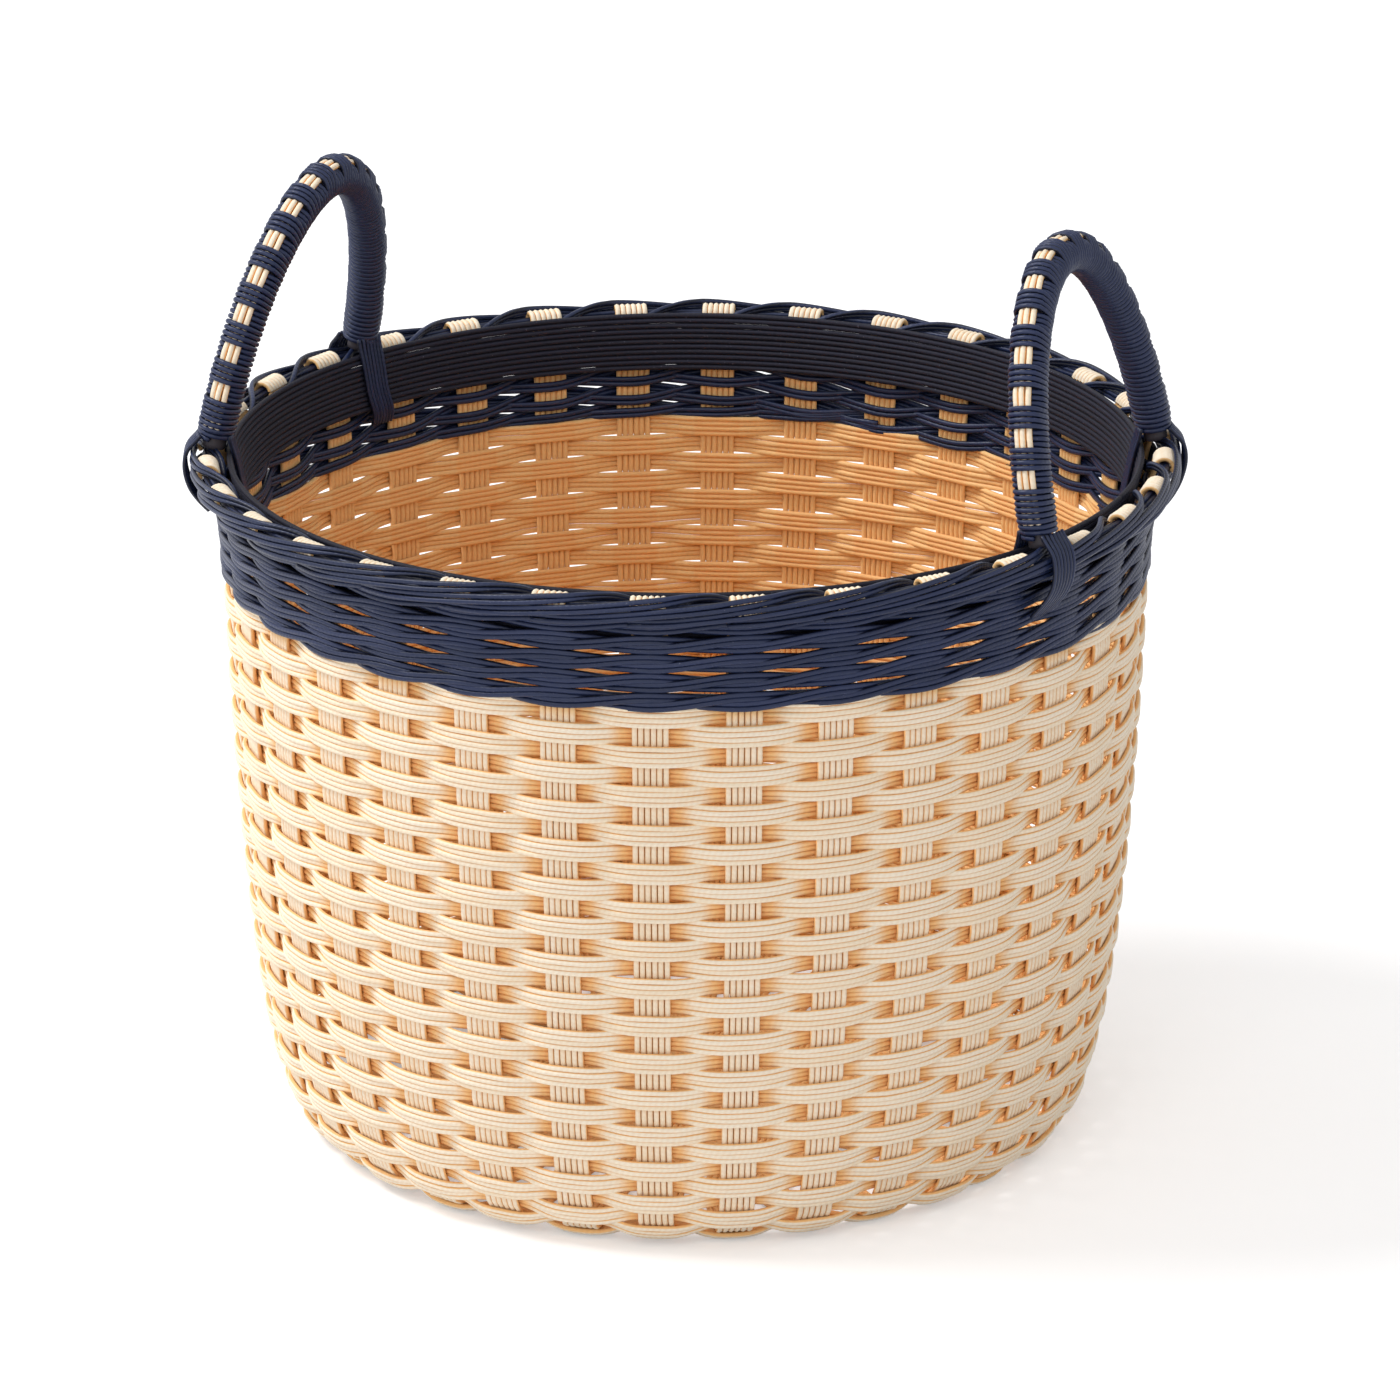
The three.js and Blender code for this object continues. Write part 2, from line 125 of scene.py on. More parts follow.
def reeds(name, lines, sides=REED_SIDES):
    """One mesh of round reeds. A line is (points, way out, radius, painted shade), in millimetres.
    """
    points, quads, tips, painted_shades, tint, run, turn = [], [], [], [], [], [], []
    base = 0
    ring = np.arange(sides) * 2 * np.pi / sides
    for at, out, radius, warm in lines:
        n = len(at)
        along = unit(np.gradient(at, axis=0))
        across = unit(np.cross(along, out))
        up = np.cross(across, along)
        radius = np.broadcast_to(radius, n)[:, None, None]
        tube = at[:, None] + radius * (
            np.cos(ring)[None, :, None] * up[:, None]
            + np.sin(ring)[None, :, None] * across[:, None]
        )
        reach = REED_TIP * radius[[0, -1], 0]
        ends = at[[0, -1]] + reach * np.stack([-along[0], along[-1]])
        points.append(np.concatenate([tube.reshape(-1, 3), ends]))
        i, k = np.meshgrid(np.arange(n - 1), np.arange(sides), indexing="ij")
        k2 = (k + 1) % sides
        here, beyond = i * sides, (i + 1) * sides
        quad = np.stack([here + k, here + k2, beyond + k2, beyond + k], -1)
        quads.append(quad.reshape(-1, 4) + base)
        far = base + n * sides
        first, last = base + np.arange(sides), base + (n - 1) * sides + np.arange(sides)
        tips.append(np.stack([np.full(sides, far), np.roll(first, -1), first], -1))
        tips.append(np.stack([np.full(sides, far + 1), last, np.roll(last, -1)], -1))
        warm = np.broadcast_to(warm, n)
        painted_shades.append(np.r_[np.repeat(warm, sides), warm[[0, -1]]])
        shade = dice.uniform(0, 1)
        tint.append(np.full(n * sides + 2, shade))
        length = np.r_[0, np.cumsum(np.linalg.norm(np.diff(at, axis=0), axis=1))]
        length = length + 900 * shade  # so that no two reeds share a grain
        run.append(np.stack([length[i], length[i], length[i + 1], length[i + 1]], -1).reshape(-1))
        turn.append(np.stack([k, k + 1, k + 1, k], -1).reshape(-1) / sides)
        base += n * sides + 2
    co = np.concatenate(points) * MM
    quads, tips = np.concatenate(quads), np.concatenate(tips)
    mesh = bpy.data.meshes.new(name)
    mesh.vertices.add(len(co))
    mesh.vertices.foreach_set("co", co.ravel().astype(np.float32))
    loops = np.concatenate([quads.ravel(), tips.ravel()]).astype(np.int32)
    mesh.loops.add(len(loops))
    mesh.loops.foreach_set("vertex_index", loops)
    sizes = np.r_[np.full(len(quads), 4), np.full(len(tips), 3)]
    mesh.polygons.add(len(sizes))
    mesh.polygons.foreach_set("loop_start", np.r_[0, np.cumsum(sizes)[:-1]].astype(np.int32))
    uv = np.zeros((len(loops), 2), np.float32)
    uv[: quads.size, 0] = np.concatenate(run)
    uv[: quads.size, 1] = np.concatenate(turn)
    mesh.uv_layers.new(name="Reed").data.foreach_set("uv", uv.ravel())
    # The painted shade of each point goes into an attribute for the finishes.
    for key, values in (("warm", painted_shades), ("tint", tint)):
        values = np.concatenate(values).astype(np.float32)
        mesh.attributes.new(key, "FLOAT", "POINT").data.foreach_set("value", values)
    mesh.update()
    mesh.validate()
    mesh.polygons.foreach_set("use_smooth", np.ones(len(mesh.polygons), bool))
    piece = bpy.data.objects.new(name, mesh)
    bpy.context.scene.collection.objects.link(piece)
    return piece


class Wire:
    """A value inside a material. Sums and products of wires add Math nodes."""

    def __init__(self, tree, socket):
        self.tree, self.socket = tree, socket

    def math(self, operation, *values):
        return add_node(self.tree, "ShaderNodeMath", {"operation": operation}, *values)

    def __add__(self, other):
        return self.math("ADD", self, other)

    def __sub__(self, other):
        return self.math("SUBTRACT", self, other)

    def __rsub__(self, other):
        return self.math("SUBTRACT", other, self)

    def __mul__(self, other):
        return self.math("MULTIPLY", self, other)

    __radd__, __rmul__ = __add__, __mul__


def add_node(tree, kind, settings, *values, output=0, **named):
    """A node with its settings, then its sockets: by order, or by name with _ for a space."""
    node = tree.nodes.new(kind)
    for key, value in settings.items():
        if key == "stops":
            ramp = node.color_ramp.elements
            while len(ramp) < len(value):
                ramp.new(0.5)
            for stop, (place, colour) in zip(ramp, value):
                stop.position, stop.color = place, (*colour, 1)
        else:
            setattr(node, key, value)
    wanted = list(enumerate(values)) + [(k.replace("_", " "), v) for k, v in named.items()]
    for key, value in wanted:
        socket = node.inputs[key]
        if isinstance(value, Wire):
            tree.links.new(value.socket, socket)
        else:
            socket.default_value = value
    return Wire(tree, node.outputs[output])


def mixed(tree, share, first, second, blend="MIX"):
    """Two colours mixed. Each is a wire or three numbers."""
    node = tree.nodes.new("ShaderNodeMix")
    node.data_type, node.blend_type = "RGBA", blend
    for place, value in ((0, share), (6, first), (7, second)):
        if isinstance(value, Wire):
            tree.links.new(value.socket, node.inputs[place])
        else:
            plain = isinstance(value, (int, float))
            node.inputs[place].default_value = value if plain else (*value, 1)
    return Wire(tree, node.outputs[2])


def new_finish(name):
    """An empty material: its tree and its Principled shader."""
    finish = bpy.data.materials.new(name)
    finish.use_nodes = True
    tree = finish.node_tree
    return finish, tree, tree.nodes["Principled BSDF"]


def smooth_step(tree, value, low, high):
    """0 below `low`, 1 above `high` and a soft step between."""
    settings = {"interpolation_type": "SMOOTHSTEP"}
    return add_node(tree, "ShaderNodeMapRange", settings, value, low, high, 0.0, 1.0)


def noise(tree, place, scale, detail, roughness):
    settings = {"Scale": scale, "Detail": detail, "Roughness": roughness}
    return add_node(tree, "ShaderNodeTexNoise", {}, Vector=place, **settings)


def reed_grain(tree):
    """What every reed finish reads: a reed's own tint, its painted shade, a grain, a twist and a
    mask of its sides where neighbours touch, for painted shade there.
    """
    place = add_node(tree, "ShaderNodeUVMap", {"uv_map": "Reed"})
    run = add_node(tree, "ShaderNodeSeparateXYZ", {}, place, output=0)
    turn = add_node(tree, "ShaderNodeSeparateXYZ", {}, place, output=1) * (2 * np.pi)
    tint = add_node(tree, "ShaderNodeAttribute", {"attribute_name": "tint"}, output=2)
    warm = add_node(tree, "ShaderNodeAttribute", {"attribute_name": "warm"}, output=2)
    cosine, sine = turn.math("COSINE", turn), turn.math("SINE", turn)
    thread = add_node(tree, "ShaderNodeCombineXYZ", {}, run * 0.16, cosine * 1.1, sine * 1.1)
    grain = noise(tree, thread, 2.4, 5.0, 0.62)
    broad = add_node(tree, "ShaderNodeCombineXYZ", {}, run * 0.035, cosine * 0.25, sine * 0.25)
    patch = noise(tree, broad, 1.0, 3.0, 0.5)
    phase = run * 2.6 + turn
    twist = phase.math("SINE", phase) * 0.5 + 0.5
    # Painted shade on the reed's sides, where it touches its neighbours.
    contact_shade = smooth_step(tree, sine.math("ABSOLUTE", sine), 0.74, 1.0)
    return tint, warm, grain, patch, twist, contact_shade, cosine


def roughen(tree, shader, height, strength, distance):
    bump = add_node(tree, "ShaderNodeBump", {}, Strength=strength, Distance=distance, Height=height)
    tree.links.new(bump.socket, shader.inputs["Normal"])


def natural_reed():
    """Peeled reed: cream, with painted shade in straw and amber in the hollows of the weave, on its
    sides where reeds touch and on its inner side.
    """
    finish, tree, shader = new_finish("natural_reed")
    tint, warm, grain, patch, twist, contact_shade, cosine = reed_grain(tree)
    fibre = grain * 0.7 + patch * 0.3
    stops = [
        (0.0, (0.85, 0.66, 0.45)),
        (0.35, (0.91, 0.77, 0.58)),
        (0.62, (0.93, 0.82, 0.66)),
        (1.0, (0.94, 0.86, 0.74)),
    ]
    straw = add_node(tree, "ShaderNodeValToRGB", {"stops": stops}, fibre * 0.75 + tint * 0.3)
    # Painted shade: the largest of the point's painted shade, the reed's sides where neighbours
    # touch and its inner side, facing into the basket.
    shade_amount = warm.math("MAXIMUM", warm, contact_shade * 0.72)
    inner = smooth_step(tree, 0 - cosine, -0.1, 0.6)
    shade_amount = warm.math("MAXIMUM", shade_amount, inner * 0.66)
    # Painted shade is drawn honey, and deep amber where it is strongest.
    shaded_honey = mixed(tree, grain, (0.93, 0.50, 0.18), (0.96, 0.67, 0.33))
    colour = mixed(tree, smooth_step(tree, shade_amount, 0.0, 0.65), straw, shaded_honey)
    colour = mixed(tree, smooth_step(tree, shade_amount, 0.6, 1.1), colour, (0.90, 0.40, 0.12))
    shade = mixed(tree, 0.12 * (1 - twist), colour, (0.74, 0.42, 0.16))
    tree.links.new(shade.socket, shader.inputs["Base Color"])
    rough = 0.62 - 0.16 * patch + 0.1 * grain
    tree.links.new(rough.socket, shader.inputs["Roughness"])
    shader.inputs["Specular IOR Level"].default_value = 0.35
    height = twist * 0.6 + grain * 0.7
    roughen(tree, shader, height, 0.35, 0.0002)
    return finish


def dress(piece, finish, slot, *nodes):
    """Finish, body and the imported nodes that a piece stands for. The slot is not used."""
    piece.data.materials.append(finish)
    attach(piece, "root")
    if nodes:
        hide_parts(*nodes)
    return piece


reed_finish = natural_reed()


def smooth(x):
    x = np.clip(x, 0, 1)
    return x * x * (3 - 2 * x)


def climbed(u, every, levels, width=0.22):
    """Rounds gained after u stakes: level, with a short step up after each `every`."""
    k = np.clip(np.round(u / every), 1, levels - 1)
    return k - 1 + smooth((u / every - k) / width + 0.5)


def pushed_row(index):
    """Rows up the wall at which a weaver passes outside stake `index`, give or take two."""
    index = index % STAKES
    return 0.5 + climbed(index + (STAKES if index % 2 else HALF_ROUND), HALF_ROUND, ROWS)


def half_strip(row, reed, over, mirror, quarter):
    """One reed of half a strip, from the middle of the mat out, up the wall and over the rim.

    `over` is whether the strip passes over the first ribbon that it crosses.
    """
    index = int(row + 3.5) - 4
    if mirror:
        index = 15 - index
    index += 8 * quarter
    aside = reed * STAKE_PITCH
    x = np.linspace(0, MAT_HALF, 33)[:-1]
    wave = MAT_WAVE * np.cos(np.pi * (x / MAT_PITCH - 0.5)) * (1 if over else -1)
    mat = np.stack([x, np.full_like(x, row * MAT_PITCH + aside), MAT_MIDDLE + wave], -1)
    mat_out = np.tile([0.0, 0.0, -1.0], (len(x), 1))
    angle = row * STEP
    q = np.linspace(0, 1, 18)[:-1]
    heading = np.array([np.cos(angle), np.sin(angle)])
    start, end = np.array([MAT_HALF, row * MAT_PITCH]), FOOT_RADIUS * heading
    pull = np.linalg.norm(end - start)
    head_in, head_out = pull * np.array([1.0, 0.0]), pull * heading
    h = q[:, None]
    line = (
        (2 * h**3 - 3 * h**2 + 1) * start
        + (h**3 - 2 * h**2 + h) * head_in
        + (3 * h**2 - 2 * h**3) * end
        + (h**3 - h**2) * head_out
    )
    slope = (
        (6 * h**2 - 6 * h) * start
        + (3 * h**2 - 4 * h + 1) * head_in
        + (6 * h - 6 * h**2) * end
        + (3 * h**2 - 2 * h) * head_out
    )
    side = unit(slope)[:, ::-1] * [-1, 1]
    rise = MAT_MIDDLE + (FOOT_HEIGHT - MAT_MIDDLE) * q**1.5
    fan = np.column_stack([line + side * aside, rise])
    fan_out = np.tile([0.0, 0.0, -1.0], (len(q), 1))

    s = np.linspace(0, wall_s[-1], 76)
    push = np.cos(np.pi * (s / ROW - pushed_row(index)))
    settle = np.clip(s / 12, 0, 1) * np.clip((WAIST - s) / 8, 0, 1)
    squeeze = 1 - 0.04 * np.clip((s - WAIST - 20) / 20, 0, 1)
    wall, wall_out = on_wall(s, -STAKE_GIVE * push * settle, np.full_like(s, angle))
    sideways = np.array([-np.sin(angle), np.cos(angle), 0.0])
    wall += sideways * (aside * squeeze + wander(s, 0.05, 90.0))[:, None]
    around = np.linspace(np.pi, 0, 13)[1:]
    hook_r = np.r_[RIM_RADIUS + HOOK_RADIUS * np.cos(around), RIM_RADIUS + HOOK_RADIUS - 0.8]
    hook_z = np.r_[RIM_HEIGHT + HOOK_RADIUS * np.sin(around), RIM_HEIGHT - HOOK_TAIL]
    out = np.array([np.cos(angle), np.sin(angle), 0.0])
    hook = hook_r[:, None] * out + hook_z[:, None] * [0, 0, 1] + sideways * aside * 0.96
    hook_out = np.r_[np.cos(around), 1.0][:, None] * out
    hook_out = hook_out + np.r_[np.sin(around), 0.0][:, None] * [0, 0, 1]
    at = np.concatenate([mat, fan, wall, hook])
    out = np.concatenate([mat_out, fan_out, wall_out, hook_out])
    # Painted shade along a stake: some on the mat under the basket, more where a weaver lies over
    # it and at the top under the wale, none on the hook.
    stake_shade = np.where(s > WAIST - 4, 0.5, 0.16 + 0.1 * push * settle)
    depth = np.r_[np.full(len(x), 0.3), np.full(len(q), 0.3), stake_shade, np.zeros(len(around) + 1)]
    if mirror:
        at, out = at * [-1, 1, 1], out * [-1, 1, 1]
    for _ in range(quarter):
        at = np.stack([-at[:, 1], at[:, 0], at[:, 2]], -1)
        out = np.stack([-out[:, 1], out[:, 0], out[:, 2]], -1)
    return at, out, depth


for quarter, layer in enumerate(("lower", "upper")):
    for i in range(8):
        lines = []
        for reed in np.arange(STAKE_REEDS) - (STAKE_REEDS - 1) / 2:
            over = (i + quarter) % 2 == 0
            right = half_strip(i - 3.5, reed, over, False, quarter)
            left = half_strip(i - 3.5, reed, not over, True, quarter)
            both = [np.concatenate([b[:0:-1], a]) for a, b in zip(right, left)]
            thick = STAKE_REED_RADIUS * (1 + wander(np.arange(len(both[0])), 0.012, 60.0))
            lines.append((both[0], both[1], thick, both[2]))
        name = f"stake_strip_{layer}_{i + 1}"
        dress(reeds(f"{name}_reeds", lines), reed_finish, "natural_reed", name)

# ---- Weavers ----------------------------------------------------------------------------
# Two ribbons of four reeds chase each other up the wall, outside one stake and inside the
# next. A ribbon fans out where it lies over a stake and is pinched between stakes.
WEAVER_REEDS = 4
WEAVER_REACH = 2.35  # stake line to the middle of a reed that passes it
FANNED, PINCHED = 2.27, 2.2  # spacing of the reeds over a stake and between stakes
WEAVER_REED_RADIUS = 1.19
STAGGER = 0.3
PER_STAKE = 8
BANDS = 3

for label, first_stake, sign in (("a", 0, -1), ("b", HALF_ROUND, 1)):
    first = 1 if sign > 0 else 2
    last = HALF_ROUND * ROWS + (1 if sign > 0 else 0)
    u = np.linspace(first, last, (last - first) * PER_STAKE + 1)
    swing = sign * np.cos(np.pi * u)
    flat = swing * (1.5 - 0.5 * swing**2)
    lines = []
    for reed in np.arange(WEAVER_REEDS) - (WEAVER_REEDS - 1) / 2:
        spacing = PINCHED + (FANNED - PINCHED) * swing**2
        rise = 0.5 + climbed(u, HALF_ROUND, ROWS) + 0.4 * smooth((u - last + 2) / 2)
        s = ROW * rise + reed * spacing + wander(u, 0.06, 19.0)
        stagger = STAGGER * (1 - swing**2) * (1 if (reed % 2 == 0.5) == (sign > 0) else -1)
        bow = 0.35 * (1 - (reed / 2) ** 2) * np.clip(swing, 0, 1)
        off = WEAVER_REACH * flat + stagger + bow + wander(u, 0.08, 13.0)
        at, out = on_wall(s, off, (first_stake + u + 0.5) * STEP)
        # Painted shade: warmer where the ribbon dives behind a stake.
        warm = 0.8 * smooth(-1.5 * flat - 0.35)
        thick = WEAVER_REED_RADIUS * (1 + wander(u, 0.015, 23.0))
        lines.append((at, out, thick, warm))
    for band in range(BANDS):
        low = int(band * (len(u) - 1) / BANDS)
        high = int((band + 1) * (len(u) - 1) / BANDS) + 1
        cut = [tuple(part[low:high] for part in line) for line in lines]
        piece = reeds(f"weaver_{label}_band_{band + 1}", cut)
        dress(piece, reed_finish, "natural_reed", *([f"weaver_{label}"] if band == 0 else []))

# ---- Wale -------------------------------------------------------------------------------
# Three dark strands of two reeds each, twined round the top of the wall: each passes
# outside two stakes and behind the third, one above the other. Reed dyed navy before
# weaving, with a dull shine and painted shade, near black, on the sides where reeds touch,
# flecked where the dye missed.
WALE_ROUNDS = 5
WALE_ROUND = 8.5
WALE_FIRST = WAIST_HEIGHT + 2.7
WALE_START = 8
WALE_IN, WALE_OUT = 2.4, 3.5
WALE_DROP = 3.2  # how far a strand drops behind a stake
WALE_REED_SPACING, WALE_REED_RADIUS = 2.25, 1.22


def navy_reed():
    """Dyed reed: blue, with painted shade near black on its sides where reeds touch and on the
    lining, flecked with bare reed.
    """
    finish, tree, shader = new_finish("navy_reed")
    tint, warm, grain, patch, twist, contact_shade, _ = reed_grain(tree)
    stops = [
        (0.0, (0.004, 0.008, 0.027)),
        (0.5, (0.010, 0.018, 0.057)),
        (1.0, (0.026, 0.038, 0.105)),
    ]
    dye = grain * 0.55 + patch * 0.25 + tint * 0.3
    base = add_node(tree, "ShaderNodeValToRGB", {"stops": stops}, dye)
    fleck = noise(tree, add_node(tree, "ShaderNodeTexCoord", {}, output=3), 900.0, 2.0, 0.6)
    spots = smooth_step(tree, fleck, 0.68, 0.78)
    # Painted shade: near black on the sides where reeds touch.
    base = mixed(tree, contact_shade * 0.85, base, (0.002, 0.002, 0.006))
    # Painted shade: reeds that carry it, the lining's, are drawn near black and made rougher.
    base = mixed(tree, warm * 0.75, base, (0.006, 0.004, 0.007))
    colour = mixed(tree, spots * 0.45, base, (0.20, 0.21, 0.29))
    tree.links.new(colour.socket, shader.inputs["Base Color"])
    rough = 0.38 + 0.16 * grain - 0.1 * patch + 0.3 * warm
    tree.links.new(rough.socket, shader.inputs["Roughness"])
    shader.inputs["Specular IOR Level"].default_value = 0.34
    height = twist * 0.7 + grain * 0.8 + fleck * 0.3
    roughen(tree, shader, height, 0.4, 0.0002)
    return finish


navy_finish = navy_reed()


def cycle(phase, knots):
    """A smooth closed wave through values at evenly spaced phases."""
    count = len(knots)
    at = (phase % count).astype(int)
    part = phase % 1
    ease = part * part * (3 - 2 * part)
    knots = np.array(knots, float)
    return knots[at] * (1 - ease) + knots[(at + 1) % count] * ease


for strand in range(3):
    u = np.linspace(-1, WALE_ROUNDS * STAKES, (WALE_ROUNDS * STAKES + 1) * 8 + 1)
    phase = u + 3 - strand
    drop = -0.4 - (WALE_DROP - 0.4) * smooth(u / STAKES - 0.2)
    lift = cycle(phase, [0.0, -2.0, 2.0]) + drop * cycle(phase, [1.0, 0.0, 0.0])
    depth = cycle(phase, [-WALE_IN, WALE_OUT, WALE_OUT])
    lines = []
    for reed in (-0.5, 0.5):
        rise = WALE_ROUND * climbed(u, STAKES, WALE_ROUNDS, 0.1)
        z = WALE_FIRST + rise + lift + reed * WALE_REED_SPACING + wander(u, 0.08, 7.0)
        off = depth + wander(u, 0.12, 9.0)
        at, out = on_wall(wall_distance(z), off, (WALE_START + u + 0.5) * STEP)
        lines.append((at, out, WALE_REED_RADIUS * (1 + wander(u, 0.015, 17.0)), 0.0))
    name = f"wale_strand_{strand + 1}"
    dress(reeds(f"{name}_reeds", lines), navy_finish, "navy_reed", name)

# ---- Rim core ---------------------------------------------------------------------------
# Four dark reeds laid side by side round the rim, loosely twisted, that the stakes bend
# over.
CORE_RADIUS = 1.42
u = np.linspace(0, STAKES, STAKES * 8 + 1)
lines = []
for reed in range(4):
    turn = 2 * np.pi * (reed / 4 + 3 * u / STAKES)
    r = RIM_RADIUS + CORE_RADIUS * np.cos(turn)
    z = RIM_HEIGHT + CORE_RADIUS * np.sin(turn)
    cos, sin = np.cos(u * STEP), np.sin(u * STEP)
    at = np.stack([r * cos, r * sin, z], -1)
    out = np.stack([cos, sin, 0 * cos], -1)
    lines.append((at, out, REED / 2, 0.0))
dress(reeds("rim_core_reeds", lines), navy_finish, "navy_reed", "rim_cord")

# ---- Lining -----------------------------------------------------------------------------
# A smooth band of eleven parallel dark reeds inside the rim, that covers the backs of the
# top wale rounds and is held by the lashings.
LINING_REEDS, LINING_PITCH = 11, 2.22
LINING_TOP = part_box("lining_band")[1][2] / MM + 1.2  # the top reed stands a little proud
LINING_OFF, LINING_REED_RADIUS = 5.9, 1.17
lines = []
for reed in range(LINING_REEDS):
    below = LINING_PITCH * (reed + 0.5)
    s = wall_s[-1] + LINING_TOP - RIM_HEIGHT - below + wander(u, 0.03, 32.0)
    at, out = on_wall(s, -LINING_OFF + wander(u, 0.05, 32.0), u * STEP)
    at[-1], out[-1] = at[0], out[0]
    # The lining's reeds carry full painted shade.
    lines.append((at, out, LINING_REED_RADIUS, 1.0))
dress(reeds("lining_reeds", lines), navy_finish, "navy_reed", "lining_band")

# ---- Border -----------------------------------------------------------------------------
# At each space between stakes a dark strand of two reeds comes up from behind the lining,
# crosses the rim core and runs down outside for three spaces, over the strands before it,
# until it dives in above the wale.
BORDER_RADIUS = 205.9
BORDER_TOP = 294.6
BORDER_FALL = 4.4  # how much lower a strand is at each stake it passes
lines = []
v = np.linspace(-0.5, 2.7, 49)
keys = [-0.5, -0.35, -0.2, 0.0, 0.15, 0.3, 0.5, 0.75, 1.0, 1.5, 1.9, 2.3, 2.7]
keys_r = [193.1, 193.1, 194.6, 198.6, 201.6, 203.8, 204.8, 205.5, 205.8]
keys_r = keys_r + [BORDER_RADIUS, 205.6, 203.6, 199.5]
fall = np.array([6.6, 3.6, 1.0, -0.3, -0.7, -0.5, 0.0, 1.1, 2.3, BORDER_FALL, 6.3, 8.3, 10.0])
for space in range(STAKES):
    for reed in (0, 1):
        r, z = np.interp(v, keys, keys_r), BORDER_TOP - np.interp(v, keys, fall)
        z = z - reed * REED * np.interp(v, [-0.5, 0.0, 0.5, 1.9], [0.6, 0.7, 1.0, 1.0])
        r = r + reed * np.interp(v, [0.0, 0.5, 1.0], [0.0, 0.8, 0.2])
        for _ in range(3):
            r[1:-1] = (r[:-2] + 2 * r[1:-1] + r[2:]) / 4
            z[1:-1] = (z[:-2] + 2 * z[1:-1] + z[2:]) / 4
        shift = reed * np.interp(v, [-0.5, 0.0, 0.45], [0.9, 0.9, 0.0]) / RIM_RADIUS
        angle = (space - v) * STEP + shift
        r = r + wander(v, 0.12, 3.0)
        cos, sin = np.cos(angle), np.sin(angle)
        at = np.stack([r * cos, r * sin, z + wander(v, 0.12, 3.0)], -1)
        over = np.interp(v, [-0.5, 0.0, 0.45], [-1.0, 0.0, 1.0])
        out = unit(np.stack([over * cos, over * sin, 1.001 - np.abs(over)], -1))
        lines.append((at, out, REED / 2, 0.0))
dress(reeds("border_reeds", lines), navy_finish, "navy_reed", "border_ribbon")

# ---- Handles ----------------------------------------------------------------------------
# A bent cane, half an ellipse over the span between its legs, leans inwards. It is closely
# bound with one dark reed, that goes under three pale reeds on the outer curve for three
# turns and over them for four, in turn.
HANDLE_HEIGHT, HANDLE_LEAN = 104.0, 0.2
LEG_ANGLE = 2 * STEP
LEG_RADIUS = RIM_RADIUS - 2.0
ARCH_HALF, HANDLE_PLACE = LEG_RADIUS * np.sin(LEG_ANGLE), LEG_RADIUS * np.cos(LEG_ANGLE)
CANE_RADIUS, CANE_START = 5.0, 4.5
BINDING_RADIUS, BINDING_REED = 7.1, 1.14
BINDING_START = 4.7  # bare cane below the binding
UNDER_DIP, OVER_RISE, END_DIP = 1.15, 1.3, 0.5  # of the binding at the pale reeds and the ends
PLAIN_TURNS, UNDER_TURNS, CYCLE_TURNS = 8, 3, 7
WINDOWS = 15
BINDING_TURNS = 2 * PLAIN_TURNS + UNDER_TURNS + CYCLE_TURNS * (WINDOWS - 1)
INLAY_LIFT = 7.05
INLAY_REED = 2.6


def cane_finish():
    """Bare cane, darkened by dye that ran off the binding."""
    finish, tree, shader = new_finish("bent_cane")
    grain = noise(tree, add_node(tree, "ShaderNodeTexCoord", {}, output=3), 260.0, 5.0, 0.6)
    colour = mixed(tree, grain, (0.035, 0.032, 0.045), (0.07, 0.06, 0.07))
    tree.links.new(colour.socket, shader.inputs["Base Color"])
    tree.links.new((0.5 + 0.2 * grain).socket, shader.inputs["Roughness"])
    roughen(tree, shader, grain, 0.3, 0.0003)
    return finish


bare_cane = cane_finish()

rising = np.linspace(np.arcsin(CANE_START / HANDLE_HEIGHT), np.pi / 2, 2001)
sweep = np.r_[rising, np.pi - rising[-2::-1]]
arch = np.stack([0 * sweep, ARCH_HALF * np.cos(sweep), HANDLE_HEIGHT * np.sin(sweep)], -1)
arch_s = np.r_[0, np.cumsum(np.linalg.norm(np.diff(arch, axis=0), axis=1))]
total = arch_s[-1]
bound = total - 2 * BINDING_START


def on_arch(s, lift, turn):
    """Points round the cane: s along it, turn from its outer curve."""
    centre = np.stack([np.interp(s, arch_s, arch[:, i]) for i in range(3)], -1)
    slopes = (np.gradient(arch[:, i], arch_s) for i in range(3))
    slope = unit(np.stack([np.interp(s, arch_s, part) for part in slopes], -1))
    side = np.array([1.0, 0.0, 0.0])
    outer = np.cross(slope, side)
    way = np.cos(turn)[:, None] * outer + np.sin(turn)[:, None] * side
    return centre + lift[:, None] * way, way


def place_handle(line, facing):
    """From a handle's own leaning frame to the basket's."""
    placed = []
    cos, sin = np.cos(HANDLE_LEAN), np.sin(HANDLE_LEAN)
    for part, (shift_x, shift_z) in zip(line, ((HANDLE_PLACE, RIM_HEIGHT), (0, 0))):
        x, y, z = part.T
        x, z = x * cos - z * sin + shift_x, x * sin + z * cos + shift_z
        placed.append(np.stack([facing * x, facing * y, z], -1))
    return placed


